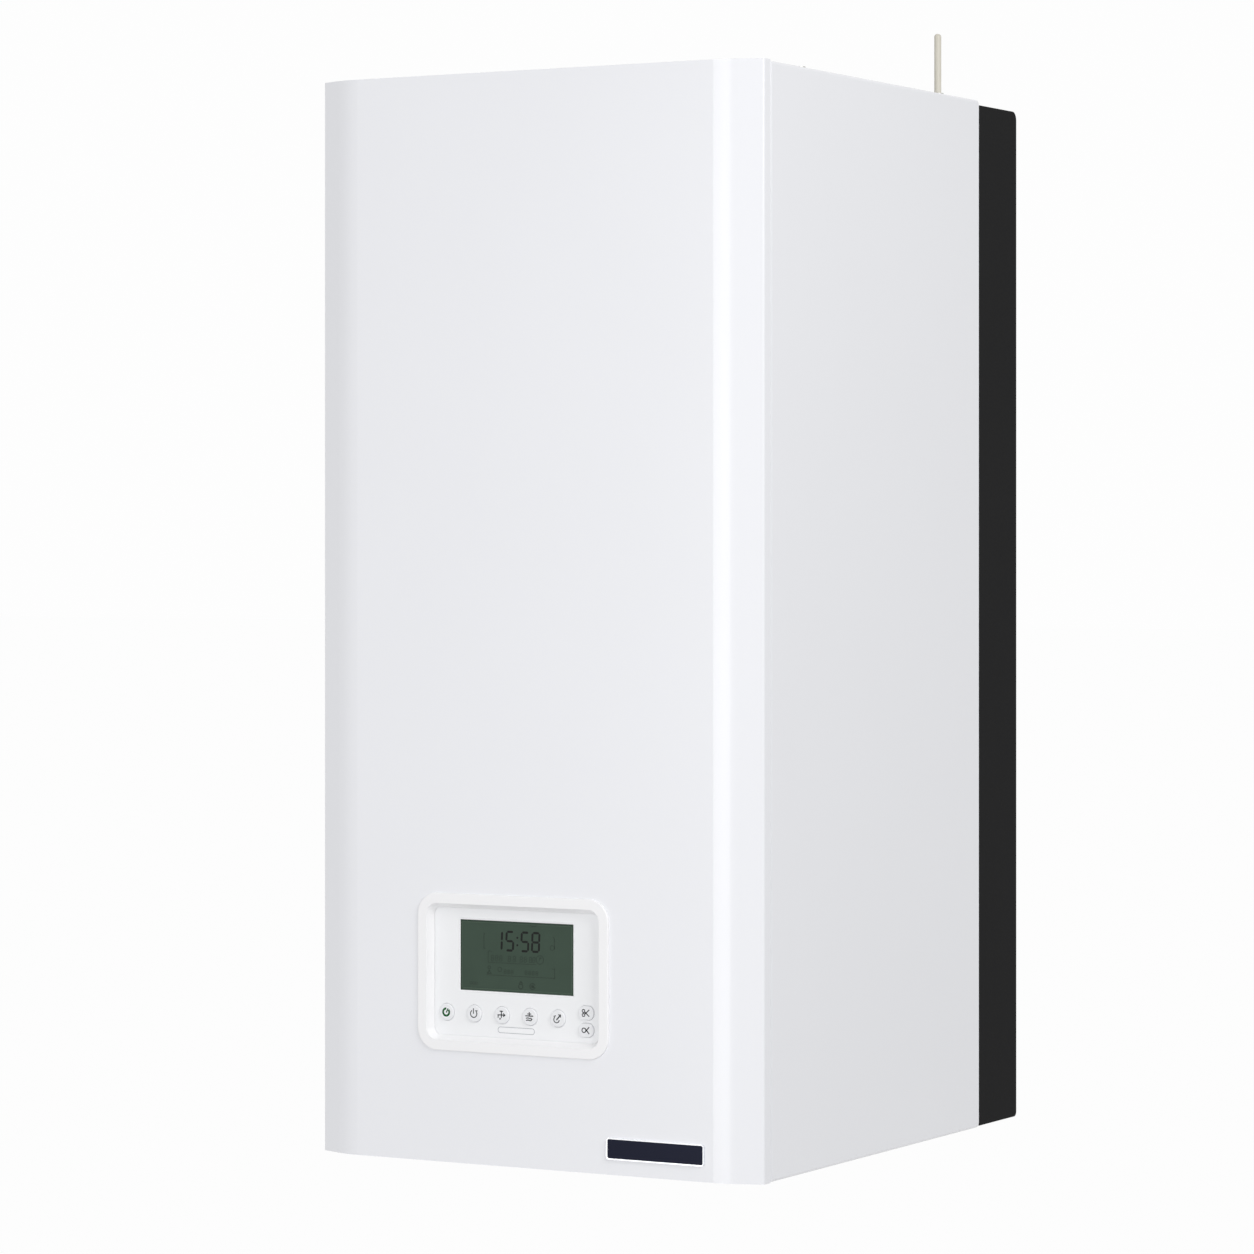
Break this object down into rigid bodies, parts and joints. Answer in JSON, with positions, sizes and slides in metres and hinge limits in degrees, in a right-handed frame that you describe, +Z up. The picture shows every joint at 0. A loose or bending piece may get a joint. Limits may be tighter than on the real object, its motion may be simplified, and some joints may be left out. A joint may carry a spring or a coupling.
{
  "type": "wall-mounted boiler",
  "caption": "Tall white wall-mounted gas boiler with a bowed front panel, small control display, push buttons, dark badge plate, black rear frame and rod antenna.",
  "frame": {"origin": "centre of the two wall bolts in the hanging rail, on the wall plane", "axes": "+X to the right as seen from the front, +Y into the wall, +Z up"},
  "size_m": [0.44, 0.522, 1.0038],
  "materials": {
    "white_panel": "smooth white powder coat",
    "black_frame": "black powder coat",
    "galvanised": "galvanised steel sheet",
    "white_plastic": "fine-grained white plastic",
    "fascia_plastic": "white plastic",
    "badge_gloss": "gloss dark navy plastic",
    "black_plastic": "black plastic",
    "seal_rubber": "black foam rubber",
    "screw_steel": "zinc-plated steel",
    "lcd_window": "clear tinted window",
    "board_green": "green circuit board",
    "grey_plastic": "grey plastic",
    "antenna_cream": "cream plastic",
    "black_rubber": "black rubber",
    "exchanger_metal": "bare aluminium",
    "stainless": "stainless steel",
    "cast_aluminium": "cast aluminium",
    "ceramic_white": "white ceramic",
    "gas_pipe": "yellow painted steel",
    "copper": "copper tube",
    "brass": "brass",
    "cast_iron": "painted cast iron",
    "vessel_red": "red painted steel",
    "knob_red": "red plastic",
    "lever_metal": "black painted steel",
    "lever_blue": "blue painted steel",
    "lever_yellow": "yellow painted steel",
    "button_plastic": "satin light grey plastic"
  },
  "bodies": {
    "chassis": {"antenna_grommet": "black_rubber", "antenna_rod": "antenna_cream", "bottom_panel": "galvanised", "burner_door": "cast_aluminium", "burner_tube": "stainless", "cable_gland": "black_plastic", "condensate_hose": "black_rubber", "condensate_siphon": "grey_plastic", "control_board": "board_green", "control_fascia": "fascia_plastic", "control_housing": "grey_plastic", "diverter_actuator": "white_plastic", "diverter_body": "brass", "domestic_pipes": "copper", "electrodes": "ceramic_white", "exchanger_coil": "stainless", "exchanger_shell": "exchanger_metal", "expansion_vessel": "vessel_red", "facade_clips": "black_plastic", "facade_seal": "seal_rubber", "fan_housing": "cast_aluminium", "fan_motor": "black_plastic", "flue_collar": "grey_plastic", "flue_pipe": "stainless", "gas_pipe": "gas_pipe", "gas_valve": "cast_aluminium", "heating_pipes": "copper", "lcd_module": "black_plastic", "lcd_window": "lcd_window", "mixing_venturi": "cast_aluminium", "plate_exchanger": "stainless", "pump_body": "cast_iron", "pump_motor": "black_plastic", "rear_frame": "black_frame", "safety_valve_body": "brass", "screws": "screw_steel", "side_panel_left": "white_panel", "side_panel_right": "white_panel", "top_panel": "white_panel", "valve_bodies": "brass", "wall_rail": "galvanised"},
    "facade_cover": {"facade": "white_panel", "control_bezel": "white_plastic", "badge_plate": "badge_gloss", "facade_studs": "galvanised"},
    "fan_rotor": {"fan_impeller": "cast_aluminium"},
    "pump_rotor": {"pump_impeller": "grey_plastic"},
    "diverter_stem": {"diverter_spindle": "stainless"},
    "relief_knob": {"safety_valve_knob": "knob_red"},
    "flow_lever": {"flow_valve_lever": "lever_metal"},
    "return_lever": {"return_valve_lever": "lever_metal"},
    "cold_lever": {"cold_valve_lever": "lever_blue"},
    "gas_lever": {"gas_cock_lever": "lever_yellow"},
    "button_1_cap": {"button_1": "button_plastic"},
    "button_2_cap": {"button_2": "button_plastic"},
    "button_3_cap": {"button_3": "button_plastic"},
    "button_4_cap": {"button_4": "button_plastic"},
    "button_5_cap": {"button_5": "button_plastic"},
    "key_upper_cap": {"key_upper": "button_plastic"},
    "key_lower_cap": {"key_lower": "button_plastic"}
  },
  "joints": [
    {"name": "facade_pull", "type": "slide", "parent": "chassis", "child": "facade_cover", "axis": [0, -1, 0], "range_m": [0, 0.25]},
    {"name": "fan_spin", "type": "hinge", "parent": "chassis", "child": "fan_rotor", "pos_m": [0.045, -0.381, -0.11202], "axis": [0, -1, 0], "continuous": true},
    {"name": "pump_spin", "type": "hinge", "parent": "chassis", "child": "pump_rotor", "pos_m": [0.065, -0.163, -0.6], "axis": [0, -1, 0], "continuous": true},
    {"name": "diverter_stroke", "type": "slide", "parent": "chassis", "child": "diverter_stem", "axis": [0, 0, 1], "range_m": [0, 0.006]},
    {"name": "relief_turn", "type": "hinge", "parent": "chassis", "child": "relief_knob", "pos_m": [0.065, -0.195, -0.705], "axis": [0, -1, 0], "range_deg": [0, 90]},
    {"name": "flow_lever_turn", "type": "hinge", "parent": "chassis", "child": "flow_lever", "pos_m": [-0.13, -0.161, -0.85], "axis": [0, -1, 0], "range_deg": [0, 90]},
    {"name": "return_lever_turn", "type": "hinge", "parent": "chassis", "child": "return_lever", "pos_m": [0.065, -0.161, -0.85], "axis": [0, -1, 0], "range_deg": [0, 90]},
    {"name": "cold_lever_turn", "type": "hinge", "parent": "chassis", "child": "cold_lever", "pos_m": [0, -0.161, -0.85], "axis": [0, -1, 0], "range_deg": [0, 90]},
    {"name": "gas_lever_turn", "type": "hinge", "parent": "chassis", "child": "gas_lever", "pos_m": [0.13, -0.161, -0.85], "axis": [0, -1, 0], "range_deg": [0, 90]},
    {"name": "button_1_press", "type": "slide", "parent": "chassis", "child": "button_1_cap", "axis": [0, 1, 0], "range_m": [0, 0.0012], "stiffness_N_per_m": 400},
    {"name": "button_2_press", "type": "slide", "parent": "chassis", "child": "button_2_cap", "axis": [0, 1, 0], "range_m": [0, 0.0012], "stiffness_N_per_m": 400},
    {"name": "button_3_press", "type": "slide", "parent": "chassis", "child": "button_3_cap", "axis": [0, 1, 0], "range_m": [0, 0.0012], "stiffness_N_per_m": 400},
    {"name": "button_4_press", "type": "slide", "parent": "chassis", "child": "button_4_cap", "axis": [0, 1, 0], "range_m": [0, 0.0012], "stiffness_N_per_m": 400},
    {"name": "button_5_press", "type": "slide", "parent": "chassis", "child": "button_5_cap", "axis": [0, 1, 0], "range_m": [0, 0.0012], "stiffness_N_per_m": 400},
    {"name": "key_upper_press", "type": "slide", "parent": "chassis", "child": "key_upper_cap", "axis": [0, 1, 0], "range_m": [0, 0.0012], "stiffness_N_per_m": 400},
    {"name": "key_lower_press", "type": "slide", "parent": "chassis", "child": "key_lower_cap", "axis": [0, 1, 0], "range_m": [0, 0.0012], "stiffness_N_per_m": 400}
  ]
}
